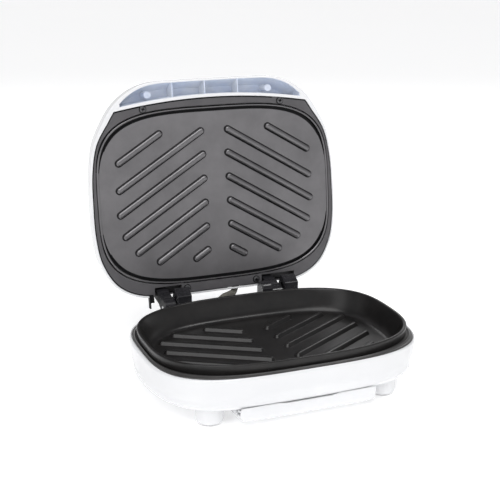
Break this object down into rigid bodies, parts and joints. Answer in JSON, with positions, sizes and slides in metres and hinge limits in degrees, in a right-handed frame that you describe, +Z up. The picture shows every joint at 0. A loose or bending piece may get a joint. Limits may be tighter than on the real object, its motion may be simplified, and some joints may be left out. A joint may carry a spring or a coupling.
{
  "type": "panini press",
  "caption": "Compact contact grill: oval-cornered base with ribbed well, dished lid opened upright on two floating hinges, ribbed upper plate, finger pocket, drip tray.",
  "frame": {"origin": "on the ground, under the centre of the open grill's bounding box", "axes": "+Z up, +X to the user's right, -Y towards the user at the front"},
  "size_m": [0.2522, 0.2728, 0.2517],
  "materials": {
    "white_plastic": "gloss, cool white",
    "black_plastic": "fine satin grain",
    "bezel_plastic": "fine satin grain",
    "grey_non_stick": "satin dark non-stick coat on cast aluminium",
    "dark_non_stick": "satin black non-stick coat on cast aluminium",
    "steel": "satin",
    "sheet_steel": "bright pressed sheet",
    "black_screw": "blackened steel",
    "rubber": "matt",
    "fibreglass": "braided sleeve",
    "bakelite": "moulded",
    "ceramic": "matt",
    "lamp_lens": "clear red"
  },
  "bodies": {
    "base": {"base_shell": "white_plastic", "foot_pad_1": "rubber", "foot_pad_2": "rubber", "foot_pad_3": "rubber", "foot_pad_4": "rubber", "base_trim_ring": "black_plastic", "lower_grill_plate": "dark_non_stick", "lower_heating_rod": "steel", "lower_reflector": "sheet_steel", "thermostat": "ceramic", "thermal_fuse": "steel", "terminal_block": "bakelite", "plate_screw_1": "black_screw", "plate_screw_2": "black_screw", "plate_screw_3": "black_screw", "plate_screw_4": "black_screw", "cord_gland": "black_plastic", "sleeve_grommet": "black_plastic", "hinge_bracket_left": "black_plastic", "hinge_bracket_right": "black_plastic"},
    "hinge_pins": {"hinge_pin_left": "steel", "hinge_pin_right": "steel", "wire_sleeve": "fibreglass"},
    "lid": {"lid_shell": "white_plastic", "lid_bezel": "bezel_plastic", "upper_grill_plate": "grey_non_stick", "upper_heating_rod": "steel", "upper_reflector": "sheet_steel", "lid_hinge_arm_left": "black_plastic", "lid_hinge_arm_right": "black_plastic", "bezel_screw_1": "black_screw", "bezel_screw_2": "black_screw", "bezel_screw_3": "black_screw", "bezel_screw_4": "black_screw", "lamp_lens": "lamp_lens", "pilot_lamp": "ceramic"},
    "tray": {"drip_tray": "white_plastic"}
  },
  "joints": [
    {"name": "lid_float", "type": "slide", "parent": "base", "child": "hinge_pins", "axis": [0, 0, 1], "range_m": [0, 0.008]},
    {"name": "lid_hinge", "type": "hinge", "parent": "hinge_pins", "child": "lid", "pos_m": [0, 0.0573, 0.0425], "axis": [1, 0, 0], "range_deg": [0, 97.5], "deforming": ["wire_sleeve"]},
    {"name": "tray_slide", "type": "slide", "parent": "base", "child": "tray", "axis": [0, -1, 0], "range_m": [0, 0.1]}
  ]
}
